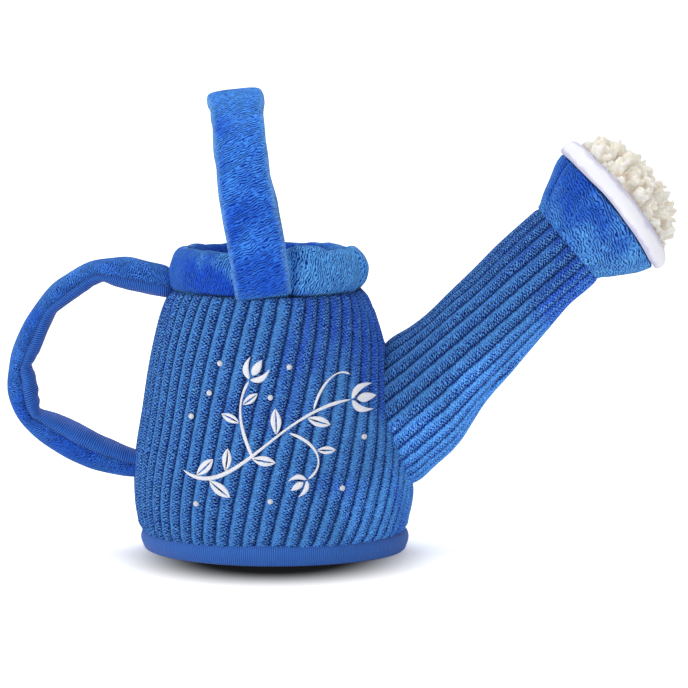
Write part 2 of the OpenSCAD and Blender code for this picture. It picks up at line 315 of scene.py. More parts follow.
def giveOut(group, **sockets):
    for label in sockets:
        group.interface.new_socket(label, in_out="OUTPUT", socket_type="NodeSocketFloat")
    result = group.nodes.new("NodeGroupOutput").inputs
    for label, socket in sockets.items():
        group.links.new(socket, result[label])
    return group


def newMaterial(name, roughness=0.9, sheen=0, sheenRoughness=0.5, sheenTint=(1, 1, 1, 1)):
    material = bpy.data.materials.new(name)
    material.use_nodes = True
    surface = material.node_tree.nodes["Principled BSDF"]
    for label, value in (("Roughness", roughness), ("Specular IOR Level", 0.14), ("Sheen Weight", sheen),
                         ("Sheen Roughness", sheenRoughness), ("Sheen Tint", sheenTint)):
        surface.inputs[label].default_value = value
    return material, material.node_tree


def finishMaterial(material, color, height, depth):
    tree = material.node_tree
    surface = tree.nodes["Principled BSDF"]
    tree.links.new(color, surface.inputs["Base Color"])
    relief = put(tree, "Bump", {"Strength": 1, "Distance": depth, "Height": height})
    tree.links.new(relief.outputs[0], surface.inputs["Normal"])
    return material


# ribs of corduroy: u counts ribs across the cloth, v runs along them at the same scale
def ribGroup():
    group, given = newGroup("corduroyRibs", "knots", "rows", "litEnd")
    cloth, litEnd = given["cloth"], given["litEnd"]
    axes = splitAxes(cloth)
    u = plus(axes[0], noiseAround(cloth, 1.3, 0.1))
    across = calc("FRACT", plus(u, noiseAround(cloth, 9, 0.09, 1)))
    # painted shade in the valleys between the ribs
    valley = remap(calc("ABSOLUTE", linear(across, 2, -1)), 0.62, 1)
    # painted light on each rib: painted shade on one side and a painted highlight on its lit side
    shade = remap(across, litEnd, plus(litEnd, 0.36))
    past = calc("SUBTRACT", across, plus(litEnd, noiseAround(cloth, 0.7, 0.3)))
    lit = times(remap(past, 0.2, -0.1), remap(across, 0.04, 0.16))
    jitter, shake = times(noiseMask(cloth, 5, 1), 2.4), times(noiseMask(cloth, 2.2, 1), 1.3)
    columns = calc("SINE", times(linear(u, given["knots"], jitter), pi))
    rows = calc("SINE", times(linear(axes[1], given["rows"], shake), tau))
    grain = linear(noiseMask(cloth, 12, 1), 1.25, -0.125)
    mixed = linear(times(columns, rows), 0.4, grain)
    strength = linear(lit, -0.6, 1)  # the lit half of a rib is smoother
    dark = times(remap(mixed, 0.48, 0.32), strength)
    bright = times(remap(mixed, 0.51, 0.65), strength)
    return giveOut(group, lit=lit, dark=dark, bright=bright, valley=valley, shade=shade,
                   patch=noiseMask(cloth, 0.16, 1), height=mixed)


# short pile combed into fine broken waves that lie along v, in millimetres
def pileGroup():
    group, given = newGroup("pileWaves", "pitch", "dash", "slant", "swirl", "soft")
    cloth, pitch, dash = given["cloth"], given["pitch"], given["dash"]
    turned = put(group, "VectorRotate", {"Vector": cloth, "Angle": given["slant"]},
                 rotation_type="Z_AXIS").outputs[0]
    u, v, _ = splitAxes(turned)
    stretched = joinAxes(calc("DIVIDE", u, times(pitch, 2.2)), calc("DIVIDE", v, dash))
    swirl = times(noiseMask(cloth, 0.1, 1), given["swirl"])
    turn = plus(plus(calc("DIVIDE", u, pitch), swirl), noiseAround(stretched, 1, 1.1, 1))
    strands = joinAxes(times(turn, 1.2), calc("DIVIDE", v, times(dash, 0.6)))
    calm = remap(noiseMask(cloth, 0.11, 1), 0.34, 0.56, 0.45, 1)
    dashed = remap(noiseMask(stretched, 0.9, 0), 0.35, 0.55, 0.3, 1)
    wave = times(times(calc("SINE", times(turn, tau)), calm), dashed)
    mixed = linear(wave, 0.46, noiseMask(strands, 1, 2))
    level, soft = 0.45, given["soft"]
    waves = remap(mixed, calc("SUBTRACT", level, soft), plus(level, soft))
    return giveOut(group, waves=waves, patches=noiseMask(cloth, 0.07, 2), height=mixed)


# even ridges across the cloth, one each pitch millimetres along u
def ridgeGroup():
    group, given = newGroup("evenRidges", "pitch", "waver")
    cloth = given["cloth"]
    waver = times(noiseMask(cloth, 0.5, 1), given["waver"])
    along = plus(calc("DIVIDE", splitAxes(cloth)[0], given["pitch"]), waver)
    strength = remap(noiseMask(cloth, 0.12), 0.35, 0.6, 0.2, 0.5)
    ridge = linear(calc("SINE", times(along, tau)), strength, 0.5)
    fuzz = noiseMask(cloth, 2.4, 3)
    return giveOut(group, ridge=ridge, fuzz=fuzz, height=linear(ridge, 0.7, times(fuzz, 0.3)))


corduroyRibs, pileWaves, evenRidges = ribGroup(), pileGroup(), ridgeGroup()

# painted light and shade, laid over uneven patches: each gives a place on the toy and the way the painting
# grows from it
corduroyLook = dict(
    pile=srgb(50, 122, 250), lit=srgb(91, 168, 255),
    patch=srgb(6, 51, 220), shade=srgb(14, 61, 172), bright=srgb(112, 185, 255),
    # the valley tone is painted shade between the ribs
    dark=srgb(0, 12, 90), valley=srgb(3, 23, 102),
    shares={"patch": 0.85, "shade": 0.56, "bright": 0.95, "dark": 1, "valley": 0.85},
    knots=5.2, rows=4.5, litEnd=0.4,  # in a rib's width
    depth=0.9 * mm, sheen=0.4, sheenTint=srgb(100, 170, 255),
    paintedShadeSide=((0, 0, 0.058), (3, 0, 3)), paintedBounceSide=((0.03, 0, 0.034), (11, 0, -11)), paintedBounceGain=1.5,
)
spoutLook = dict(
    corduroyLook, patch=srgb(6, 47, 200), litEnd=0.36, paintedShadeSide=((0.088, 0, 0.088), (5, 0, 5)),
    paintedBounceSide=((0.103, 0, 0.1), (13, 0, -16.3)), paintedBounceGain=1.75)
# a painted highlight along an edge: cloth axis, middle, from, to; painted shade where the cloth turns under at
# a hem
plushLook = dict(
    bright=srgb(73, 152, 254), dark=srgb(9, 53, 162), deep=srgb(37, 100, 222),
    paintedHighlight=srgb(150, 210, 255), pitch=0.9, dash=2.6, slant=0.3, swirl=1.5, soft=0.2,
    depth=0.35 * mm, sheen=1, sheenTint=srgb(110, 186, 255),
    # painted light: a place and the way the pile is painted paler from it, and how soft that change is
    paintedLightSide=((-0.022, 0, 0.15), (9, 0, 7)), paintedLightEdge=0.25,
)
strapLook = dict(plushLook, paintedEdgeHighlight=(1, 0, 7.4, 10.8))
collarLook = dict(
    plushLook, bright=srgb(101, 183, 255), deep=srgb(31, 87, 210), dark=srgb(7, 47, 152), slant=1.15, dash=1.8,
    swirl=3, paintedLightSide=((0.002, -0.024, 0.106), (8, -8, 22)), paintedLightEdge=0.2, paintedHemShade=(5.2, 3.9), paintedEdgeHighlight=(0, 21.7, 1, 0.3))
cupLook = dict(
    plushLook, bright=srgb(104, 183, 255), deep=srgb(38, 97, 209), dark=srgb(8, 46, 138), slant=-0.22,
    soft=0.27, pitch=1, dash=2.3, swirl=3.4, paintedLightSide=((0.134, 0, 0.122), (0, 0, -11)), paintedLightEdge=0.24,
    paintedHemShade=(16.6, 17.6))
handleLook = dict(
    plushLook, bright=srgb(76, 149, 255), deep=srgb(50, 113, 238), dark=srgb(2, 24, 104), pitch=0.7, dash=0.75,
    slant=-0.46, swirl=6, soft=0.19, sheen=0.6, paintedLightSide=((-0.09, 0, 0.07), (2, 0, 3)))
rimLook = dict(
    # the edge colour is painted shade
    crown=srgb(246, 246, 254), edge=srgb(210, 208, 234), pitch=0.55, waver=0.4,
    around=18,  # millimetres of cloth round the rim's section
)


# a mask of painted light and shade that grows one way over the piece, on top of uneven patches
def paintedLightGradient(patches, way, low, high):
    aside = vectorCalc("SUBTRACT", objectPlace(patches.id_data), way[0])
    return remap(plus(patches, vectorCalc("DOT_PRODUCT", aside, way[1])), low, high)


# a cloth group, fed with the look's values of the same names
def clothShader(tree, group, look):
    labels = [item.name for item in group.interface.items_tree if item.in_out == "INPUT"]
    values = {label: look[label] for label in labels if label != "cloth"}
    return put(tree, "Group", {"cloth": flatCloth(tree), **values}, node_tree=group).outputs


def corduroyMaterial(name, look):
    material, tree = newMaterial(name, sheen=look["sheen"], sheenRoughness=0.4, sheenTint=look["sheenTint"])
    cloth = clothShader(tree, corduroyRibs, look)
    # painted shade: the deep patches grow towards the upper right
    masks = dict(cloth.items(), patch=paintedLightGradient(cloth["patch"], look["paintedShadeSide"], 0.5, 0.7))
    # painted highlight: the lit side of each rib is painted paler
    color = blendColor(cloth["lit"], look["pile"], look["lit"])
    for mask, share in look["shares"].items():
        color = blendColor(times(masks[mask], share), color, look[mask])
    # painted bounce light: the cloth is brightened towards its lower right
    paintedBounce = paintedLightGradient(cloth["patch"], look["paintedBounceSide"], 0.5, 0.75)
    color = brighten(color, linear(paintedBounce, look["paintedBounceGain"] - 1, 1))
    return finishMaterial(material, color, cloth["height"], look["depth"])


def plushMaterial(name, look):
    material, tree = newMaterial(name, sheen=look["sheen"], sheenRoughness=0.35, sheenTint=look["sheenTint"])
    cloth = clothShader(tree, pileWaves, look)
    # random patches with painted light over them: the pile turns paler towards one side of the piece and
    # deeper towards the other
    paintedLightSide = paintedLightGradient(cloth["patches"], look["paintedLightSide"], 0.5 - look["paintedLightEdge"], 0.5 + look["paintedLightEdge"])
    color = blendColor(paintedLightSide, look["deep"], look["bright"])
    color = blendColor(cloth["waves"], look["dark"], color)
    spot = splitAxes(flatCloth(tree))
    # painted highlight: a pale band along the cloth's edge
    if "paintedEdgeHighlight" in look:
        axis, middle, start, end = look["paintedEdgeHighlight"]
        aside = calc("ABSOLUTE", calc("SUBTRACT", spot[axis], middle))
        paintedHighlight = remap(noiseMask(flatCloth(tree), 0.9), 0.3, 0.6, 0.2, 0.5)
        color = blendColor(times(remap(aside, start, end), paintedHighlight), color, look["paintedHighlight"])
    # painted shade: the cloth darkens where it turns under
    if "paintedHemShade" in look:
        color = brighten(color, remap(spot[0], *look["paintedHemShade"], 1, 0.12))
    return finishMaterial(material, color, cloth["height"], look["depth"])


def ridgedMaterial(name, bright, dark, depth, sheen=0.2, roughness=0.85, **ridges):
    material, tree = newMaterial(name, sheen=sheen, roughness=roughness)
    cloth = clothShader(tree, evenRidges, ridges)
    color = blendColor(cloth["ridge"], dark, bright)
    color = brighten(color, remap(cloth["fuzz"], 0.3, 0.7, 0.86, 1.12))
    return finishMaterial(material, color, cloth["height"], depth)


# white cotton with painted shade that turns it lavender towards the rim's two edges
def rimMaterial(name, look):
    material, tree = newMaterial(name, sheen=0.2)
    cloth = clothShader(tree, evenRidges, look)
    around = splitAxes(flatCloth(tree))[1]
    crown = calc("COSINE", calc("DIVIDE", around, look["around"] / tau))
    # painted shade: lavender away from the middle of the rim's section
    band = remap(linear(noiseMask(flatCloth(tree), 0.12, 2), 0.9, crown), 1, 1.35)
    color = blendColor(band, look["edge"], look["crown"])
    color = brighten(color, remap(cloth["ridge"], 0.2, 0.8, 0.95, 1.03))
    return finishMaterial(material, color, cloth["height"], 0.08 * mm)


def fleeceMaterial(name):
    material, tree = newMaterial(name, sheen=0.6, sheenRoughness=0.5)
    surface = tree.nodes["Principled BSDF"]
    surface.inputs["Subsurface Weight"].default_value = 0.8
    surface.inputs["Subsurface Radius"].default_value = (1, 0.85, 0.7)
    surface.inputs["Subsurface Scale"].default_value = 4 * mm
    curls = noiseMask(objectPlace(tree), 1100, 3, 1.5)
    color = blendColor(remap(noiseMask(objectPlace(tree), 160), 0.35, 0.65),
                       srgb(253, 241, 227), srgb(255, 248, 236))
    color = blendColor(times(remap(curls, 0.5, 0.3), 0.3), color, srgb(236, 220, 200))
    return finishMaterial(material, color, curls, 0.3 * mm)


def plainMaterial(name, color, roughness=0.8, depth=0.15 * mm):
    material, tree = newMaterial(name, roughness=roughness)
    flecks = noiseMask(objectPlace(tree), 400, 3)
    color = brighten(color, remap(flecks, 0.3, 0.7, 0.88, 1.05))
    return finishMaterial(material, color, flecks, depth)


corduroy = corduroyMaterial("blueCorduroy", corduroyLook)
spoutCorduroy = corduroyMaterial("spoutCorduroy", spoutLook)
plush = plushMaterial("bluePlush", strapLook)
collarPlush = plushMaterial("collarPlush", collarLook)
cupPlush = plushMaterial("cupPlush", cupLook)
handlePlush = plushMaterial("handlePlush", handleLook)
ribbedKnit = ridgedMaterial(
    "ribbedKnit", srgb(65, 136, 242), srgb(4, 31, 108), 0.3 * mm, pitch=0.95, waver=0.4)
bindingTape = ridgedMaterial(
    "bindingTape", srgb(68, 124, 206), srgb(30, 78, 164), 0.16 * mm, pitch=0.8, waver=0.3)
liningCloth = ridgedMaterial(
    "liningCloth", srgb(44, 98, 200), srgb(28, 74, 170), 0.08 * mm, pitch=0.6, waver=0.2)
rimCotton = rimMaterial("rimCotton", rimLook)
whiteThread = ridgedMaterial(
    "whiteThread", srgb(253, 253, 255), srgb(222, 226, 240), 0.14 * mm, pitch=0.5, waver=0.5, sheen=0.3,
    roughness=0.45)
curlyFleece = fleeceMaterial("curlyFleece")
fibreFill = plainMaterial("fibreFill", srgb(246, 246, 244))
stiffFelt = plainMaterial("stiffFelt", srgb(226, 226, 222))
squeakerVinyl = plainMaterial("squeakerVinyl", srgb(238, 224, 172), roughness=0.35, depth=0.02 * mm)
mouldedPlastic = plainMaterial("mouldedPlastic", srgb(240, 240, 236), roughness=0.4, depth=0.02 * mm)
for cadName, material in (
        ("base_stiffener", stiffFelt), ("squeaker_bulb", squeakerVinyl), ("squeaker_plug", mouldedPlastic),
        ("squeaker_reed", mouldedPlastic)):
    frame["nodes"][cadName].data.materials.clear()
    frame["nodes"][cadName].data.materials.append(material)
print("materials made")

can = dict(
    baseRadius=(bindingBox[1].x - bindingBox[0].x) / 2,
    bindingTop=bindingBox[1].z,
    seamHeight=collarBox[0].z,
    neckRadius=(collarBox[1].x - collarBox[0].x) / 2 - 0.7 * mm,
    bellyLow=6.7 * mm,  # swelling near the base
    bellyHigh=3.9 * mm,  # swelling near the neck
    lean=2.8 * mm,  # the soft neck leans to the side handle
    ribPitch=5.1 * mm,
    ribHeight=1.3 * mm,
    endFade=2.4 * mm,  # the ribs flatten this near a seam
    columnsPerRib=10,
    rows=66,
    grain=pi,  # the cloth's straight grain is on the side handle's side
    wall=1.2 * mm,
    fillGap=2.4 * mm,  # the stuffing lies this far inside the cloth's face
)


def leanAt(z):
    return can["lean"] * smooth(z, 6 * mm, can["seamHeight"] + 14 * mm)


def shareUp(z):
    return clamp((z - can["bindingTop"]) / (can["seamHeight"] - can["bindingTop"]))


def sideRadius(z):
    t = shareUp(z)
    swell = max(0, 1 - abs(2 * t - 1) ** 3.2) ** 0.8
    return mix(can["baseRadius"], can["neckRadius"], t) + mix(can["bellyLow"], can["bellyHigh"], t) * swell


def ringPoint(angle, r, z):
    return Vector((r * cos(angle) - leanAt(z), r * sin(angle), z))


def sidePoint(angle, z, lift=0):
    r, t = sideRadius(z), shareUp(z)
    middle = smooth(t, 0, 0.12) * smooth(1 - t, 0, 0.12)
    dent = ripple(ringPoint(angle, r, z), 26 * mm, 3.1) * 0.8 * mm * middle
    gathers = 0.5 * mm * sin(angle * 9 + 1.3) * smooth(t, 0.86, 1)
    pull = 0.6 + 0.7 * smooth(t, 0.9, 1) + 0.9 * bump(t, 0.03, 0.12)  # the spout pulls its side straight
    return ringPoint(angle, r + lift + dent + gathers - turnBump(angle, 0, 0.5) * mm * pull, z)


# a cone of corduroy is cut flat with straight ribs, so the ribs slant more and more round the cone
def conePanel(name, look, low, high, slant, pointAt, material, node, fill):
    pitch, endFade, taper = look["ribPitch"], look["endFade"], (low - high) / slant
    farLow, farHigh = low / taper, high / taper  # distances from the cone's tip
    opening = pi * taper
    reach = farLow * sin(opening)
    ribCount = ceil(reach / pitch)

    def place(s, t):
        u = clamp((2 * s - 1) * ribCount * pitch, -reach * 0.9995, reach * 0.9995)
        vLow, vHigh = sqrt(farLow ** 2 - u * u), abs(u) / tan(opening)
        if abs(u) < farHigh * sin(opening):
            vHigh = sqrt(farHigh ** 2 - u * u)
        v = mix(vLow, vHigh, t)
        along = (farLow - hypot(u, v)) / (farLow - farHigh)
        angle = look["grain"] + atan2(u, v) / taper
        rounded = 1 - abs(2 * ((u / pitch) % 1) - 1) ** 2.3
        fade = smooth(along * slant, 0, endFade) * smooth((1 - along) * slant, 0, endFade)
        lift = look["ribHeight"] * rounded * mix(0.15, 1, fade)
        return pointAt(angle, along, lift), (u / pitch, v / pitch)

    columns = 2 * ribCount * look["columnsPerRib"]
    addCloth(name, columns, look["rows"], place, material, "corduroy", node, 1, look["wall"], fill)


def bindingRim(angle):
    return can["bindingTop"] - 0.2 * mm - 1.2 * mm * abs(cos(angle))


def canPoint(angle, along, lift):
    z = mix(bindingRim(angle) - 1.5 * mm, can["seamHeight"] + 0.3 * mm, along)
    overhang = 0.5 * mm * bump(z, bindingRim(angle) + 2.2 * mm, 1.6 * mm)
    return sidePoint(angle, z, lift + overhang - 0.5 * mm)


canSlant = hypot(can["baseRadius"] - can["neckRadius"], can["seamHeight"] - can["bindingTop"])
conePanel(
    "canBody", can, can["baseRadius"], can["neckRadius"], canSlant, canPoint, corduroy, "body_panel", 0.9)


# stuffing: pointAt(s, t) gives a point of its face
def addFill(name, columns, rows, pointAt, node, fill):
    def place(s, t):
        return pointAt(s, t), (s, t)

    addCloth(name, columns, rows, place, fibreFill, "fibre_fill", node, fill=fill)


def bellyPoint(s, t):
    low, high, cap = can["bindingTop"] + 1.5 * mm, liningBox[0].z - 3 * mm, 0.2
    z = mix(low, high, clamp((t - cap) / (1 - 2 * cap)))
    return ringPoint(tau * s, (sideRadius(z) - can["fillGap"]) * closing(t, cap), z)


def pocketPoint(s, t):
    low, high = liningBox[0].z + mm, can["seamHeight"] - 2 * mm
    across, up = roundedBox(tau * t, 6)
    z = mix(low, high, up * 0.5 + 0.5)
    r = mix(liningBox[1].x + 2 * mm, sideRadius(z) - can["fillGap"], across * 0.5 + 0.5)
    return ringPoint(tau * s, r, z)


addFill("bellyFill", 64, 30, bellyPoint, "belly_stuffing", 0.9)
addFill("pocketFill", 64, 24, pocketPoint, "pocket_padding", 0.6)
print("can body made")

base = dict(bulge=0.9 * mm, edge=1.5 * mm, flange=7 * mm, wall=0.8 * mm)


def bindingPlace(s, t):
    angle = tau * s
    slump = turnBump(angle, -0.6, 0.5)  # the edge is flatter below the spout
    radius = can["baseRadius"] + 0.7 * mm * (slump - turnBump(angle, 0.15, 0.35))
    corner, top = base["edge"] * (1 - 0.55 * slump), bindingRim(angle)
    wall, arc = top - corner, corner * pi / 2
    walk = t * (wall + arc + base["flange"])
    if walk < wall:
        r = radius + base["bulge"] * sin(pi * walk / wall) - 0.9 * mm * (1 - smooth(walk / wall, 0, 0.16))
        z = top - walk
    elif walk < wall + arc:
        bend = (walk - wall) / corner
        r, z = radius - corner + corner * cos(bend), corner - corner * sin(bend)
    else:
        r, z = radius - corner - (walk - wall - arc), 0
    r += ripple(ringPoint(angle, r, z), 17 * mm, 8) * 0.35 * mm * smooth(z, 0.5 * mm, 4 * mm)
    return ringPoint(angle, r, z), (angle * radius / mm, walk / mm)


def basePlace(s, t):
    spot = ringPoint(tau * s, (can["baseRadius"] - base["edge"] - 2 * mm) * t, 0)
    rise = 0.9 + 0.5 * (1 - t ** 6) + 0.2 * ripple(spot, 14 * mm, 2)
    return spot + Vector((0, 0, rise * mm)), (spot.x / mm, spot.y / mm)


addCloth("baseBinding", 160, 26, bindingPlace, bindingTape, "binding", "base_binding", -1, base["wall"])
addCloth("basePanel", 72, 16, basePlace, liningCloth, "lining", "base_panel", -1, base["wall"])
print("base made")

collar = dict(
    low=collarBox[0].z - mm, top=collarBox[1].z, outer=(collarBox[1].x - collarBox[0].x) / 2,
    thickness=9.4 * mm, squareness=2.7, sides=300, rows=44,
    strapAngle=-pi / 2 - 0.16,  # where the strap presses on it
    measuredAt=2,  # an angle without a fold, where its section is measured
)
collar["folds"] = ((collar["strapAngle"] + 0.43, 0.05, 3), (-0.28, 0.05, 3))


def collarPoint(angle, turnAngle, scale=1):
    across, up = roundedBox(turnAngle, collar["squareness"] - 0.5 * turnBump(angle, 0, 0.5))
    outside = smooth(across, 0, 1)
    across, up = across * scale, up * scale
    share = up * 0.5 + 0.5
    edge = Vector((cos(angle), sin(angle), 0)) * collar["outer"]
    strapPress = turnBump(angle, collar["strapAngle"], 0.32)
    r = collar["outer"] - collar["thickness"] / 2 * (1 - across * (1 - 0.12 * share))
    r += mm * (
        0.9 * sin(pi * share) * (1 if across > 0 else -0.4)
        - 1.3 * strapPress * smooth(share, 0.1, 0.9)
        - bumps(collar["folds"], angle, turnBump) * outside
        + 0.7 * ripple(edge + Vector((0, 0, share * 20 * mm)), 9 * mm, 7)
        - 1.1 * turnBump(angle, pi, 0.5) * share
        + turnBump(angle, 0, 0.45) * (0.9 * bump(share, 0.62, 0.25) - 1.2 * bump(share, 0, 0.2)))
    wave = (1.3 * ripple(edge, 13 * mm, 5) + 0.4 * ripple(edge, 5 * mm, 1) - 1.4 * strapPress
            + 3 * turnBump(angle, -1.04, 0.34) - 1.1 * turnBump(angle, -0.80, 0.1))
    tilt = (-sin(angle) * 0.9 - 0.6) * share
    z = mix(collar["low"], collar["top"], share) + mm * (tilt + wave * smooth(share, 0.3, 1))
    return ringPoint(angle, r, z)


def collarOutline(turnAngle):
    spot = collarPoint(collar["measuredAt"], turnAngle)
    return hypot(spot.x + leanAt(spot.z), spot.y), spot.z


collarTurns, collarGirth = evenTurns(collarOutline, -pi / 2, 1.5 * pi, collar["rows"])


def collarPlace(s, t):
    return (collarPoint(tau * s, collarTurns[round(t * collar["rows"])]),
            (collarGirth * t, tau * s * collar["outer"] / mm))


addCloth(
    "collarRoll", collar["sides"], collar["rows"], collarPlace, collarPlush, "plush", "collar_cover", fill=0.7)
addFill("collarFill", 240, 12, lambda s, t: collarPoint(tau * s, tau * t, 0.6), "collar_padding", 0.6)

pocket = dict(
    radius=collar["outer"] - collar["thickness"] + 0.6 * mm, floor=liningBox[0].z, top=collar["low"] + 6 * mm,
    wall=0.8 * mm)


def pocketPlace(s, t):
    angle, z = tau * s, mix(pocket["top"], pocket["floor"], t)
    spot = Vector((cos(angle) * pocket["radius"], sin(angle) * pocket["radius"], z))
    r = pocket["radius"] - abs(ripple(spot, 11 * mm, 4)) * 1.4 * mm * smooth(pocket["top"] - z, 0, 12 * mm)
    return ringPoint(angle, r, z), (angle * pocket["radius"] / mm, (pocket["top"] - z) / mm)


def pocketFloorPlace(s, t):
    r = (pocket["radius"] + 0.4 * mm) * (1 - t)
    spot = ringPoint(tau * s, r, pocket["floor"])
    puff = (1.5 * mm + ripple(spot, 9 * mm, 6) * 1.2 * mm) * (1 - (r / pocket["radius"]) ** 4)
    return spot + Vector((0, 0, puff)), (spot.x / mm, spot.y / mm)


addCloth("pocketLining", 96, 30, pocketPlace, liningCloth, "lining", "pocket_lining", 1, pocket["wall"])
addCloth("pocketFloor", 96, 12, pocketFloorPlace, liningCloth, "lining", "pocket_floor", 1, pocket["wall"])
print("collar and pocket made")


# the way of a round piece that slopes up to the front, and the way up from it
def slopeWays(slope):
    c, s = cos(slope), sin(slope)
    return {"slope": slope, "axis": Vector((c, 0, s)), "up": Vector((-s, 0, c))}


spout = dict(
    **slopeWays(radians(46.4)),
    root=Vector((0, 0, -0.8 * mm)),  # where its axis meets the can's axis
    reach=163 * mm,  # along the axis to the rose
    neckRadius=16.8 * mm,
    taper=tan(radians(3.55)),
    rootStart=75 * mm, rootEnd=50 * mm,
    ribPitch=5.1 * mm, ribHeight=1.05 * mm, endFade=2 * mm,
    panelLength=100 * mm, columnsPerRib=10, rows=72,
    grain=0,  # straight grain along the top, seam underneath
    flare=1.3 * mm, wall=1.2 * mm,
    swells=(  # along it, how wide, round it, how wide, how high; the first is one deep crease
        (106 * mm, 15 * mm, 2.72, 0.10, -2.2),
        (142 * mm, 12 * mm, 0, 0.9, 0.4),
        (114 * mm, 12 * mm, 0, 0.9, -0.7)),
)
rose = dict(
    **slopeWays(radians(40)),
    length=19 * mm, radius=26.5 * mm, wall=mm,
    neck=spout["root"] + spout["axis"] * spout["reach"],
    lip=0.12,  # the share of the cup's cloth that is turned under at the neck
    hollows=((0.45, 0.32, 0, 0.8, -1.3), (0.4, 0.3, pi, 0.6, -0.7)),
    rimWide=3.6 * mm, rimThick=2.5 * mm, rimRing=27.4 * mm,
    seamAngle=0.42,  # where the two plush panels meet, from the top
    saddle=2.8 * mm,  # the rim stands higher between the seams
)


def spoutRadius(s):
    inward = max(0, (spout["rootStart"] - s) / (spout["rootStart"] - spout["rootEnd"]))
    return spout["neckRadius"] * (1 - 0.42 * inward ** 2) + (spout["reach"] - s) * spout["taper"]


def spoutPoint(angle, along, lift, hug=1):
    upward = 0.5 + 0.5 * cos(angle)
    end = spout["reach"] + tan(spout["slope"] - rose["slope"]) * cos(angle) * spout["neckRadius"]
    s = mix(mix(50 * mm, 80 * mm, upward ** 2), end + 2 * mm, along)
    leaving = mix(56 * mm, 88 * mm, upward ** 2.2)  # where this side comes out of the can
    out = spout["up"] * cos(angle) + front * sin(angle)
    r = spoutRadius(s) + spout["flare"] * bump(s, leaving, 7 * mm)
    r -= 1.3 * mm * smooth(s, end - 4 * mm, end + mm) + 0.5 * mm
    r += ripple(spout["axis"] * s + out * r, 17 * mm, 9) * 0.9 * mm
    hollow = smooth(s, 78 * mm, 98 * mm) * smooth(end - s, 0, 18 * mm)  # pulled in underneath
    r += swellings(spout["swells"], s, angle) - 2.15 * mm * hollow * turnBump(angle, pi, 0.95)
    return spout["root"] + spout["axis"] * s + out * (r + lift) * hug


def spoutFillPoint(s, t):
    return spoutPoint(tau * s, mix(0.04, 0.97, t), -can["fillGap"], closing(t, 0.08))


spoutFoot = spout["neckRadius"] + spout["panelLength"] * spout["taper"]
conePanel(
    "spoutTube", spout, spoutFoot, spout["neckRadius"], spout["panelLength"], spoutPoint, spoutCorduroy,
    "spout_panel", 0.85)
addFill("spoutFill", 48, 30, spoutFillPoint, "spout_stuffing", 0.85)
print("spout made")


def saddle(angle, r):
    share = clamp(r / rose["rimRing"])
    return rose["saddle"] * sin(angle) ** 2 * share ** 2 + (0.75 * cos(angle) * share - 0.2) * mm


def rosePoint(s, r, angle):
    return rose["neck"] + rose["axis"] * s + (rose["up"] * cos(angle) + front * sin(angle)) * r


def cupPoint(angle, t):
    lip, neck = rose["lip"], spout["neckRadius"]
    q = (t - lip) / (1 - lip)
    if t < lip:  # the neck edge is turned under
        bend = t / lip * pi
        along, r = -mm - mm * sin(bend), neck + 0.2 * mm - 0.9 * mm * cos(bend)
    else:
        along = mix(-mm, rose["length"] + 0.4 * mm + saddle(angle, rose["rimRing"]), q)
        r = neck + 1.1 * mm + (rose["radius"] - neck - 0.3 * mm) * sin(pi / 2 * clamp(q * 1.06))
        r -= (3.4 - 1.2 * turnBump(angle, pi, 0.5)) * mm * smooth(q, 0.90, 0.99)
        r += swellings(rose["hollows"], q, angle)
    r -= 0.7 * mm * seams(angle, 0.04, rose["seamAngle"], rose["seamAngle"] + pi)
    r += ripple(rosePoint(along, r, angle), 12 * mm, 2.5) * 0.8 * mm * smooth(t, 0.1, 0.4)
    r += 0.5 * mm * sin(angle * 7) * smooth(t, 0.75, 1)
    return rosePoint(along, r, angle), (mix(-1, rose["length"] / mm, q), angle * rose["radius"] / mm)


for panel, start, node in (("roseCupFront", 0, "rose_panel_front"), ("roseCupBack", pi, "rose_panel_back")):
    addCloth(panel, 84, 44, lambda s, t: cupPoint(rose["seamAngle"] + start + pi * s, t),
             cupPlush, "plush", node, 1, rose["wall"], 0.8)


def rimPlace(s, t):
    angle, (across, along) = tau * s, roundedBox(tau * t, 2.05)
    spot = rosePoint(rose["length"], rose["rimRing"], angle)
    wide = rose["rimWide"] * (1 + 0.07 * ripple(spot, 9 * mm, 1) - 0.22 * turnBump(angle, pi, 0.35))
    r = rose["rimRing"] + ripple(spot, 14 * mm, 3) * 0.7 * mm + across * rose["rimThick"]
    r -= (along * 0.5 + 0.5) * mm
    out = rose["length"] + rose["rimWide"] - 1.2 * mm + along * wide + ripple(spot, 16 * mm, 4) * 0.6 * mm
    return (rosePoint(out + saddle(angle, rose["rimRing"]), r, angle),
            (angle * rose["rimRing"] / mm, rimLook["around"] * t))


def roseFillPoint(s, t):
    neck = spout["neckRadius"]
    r = neck - mm + (rose["radius"] - neck - 1.5 * mm) * sin(pi / 2 * t)
    return rosePoint(mix(mm, rose["length"] + mm, t), r * closing(t, 0.15), tau * s)


addCloth("roseRim", 180, 26, rimPlace, rimCotton, "rim_cotton", "rose_rim", fill=0.6)
addFill("roseFill", 48, 20, roseFillPoint, "rose_stuffing", 0.8)

tuft = dict(
    count=84, fingers=4, length=(7 * mm, 11.6 * mm), width=(2.3 * mm, 3.1 * mm),
    domeHigh=14 * mm, domeWide=21 * mm, voxel=0.45 * mm, fuzz=0.5 * mm, seed=11,
    insideRim=24.6 * mm, spiral=pi * (3 - sqrt(5)),
)


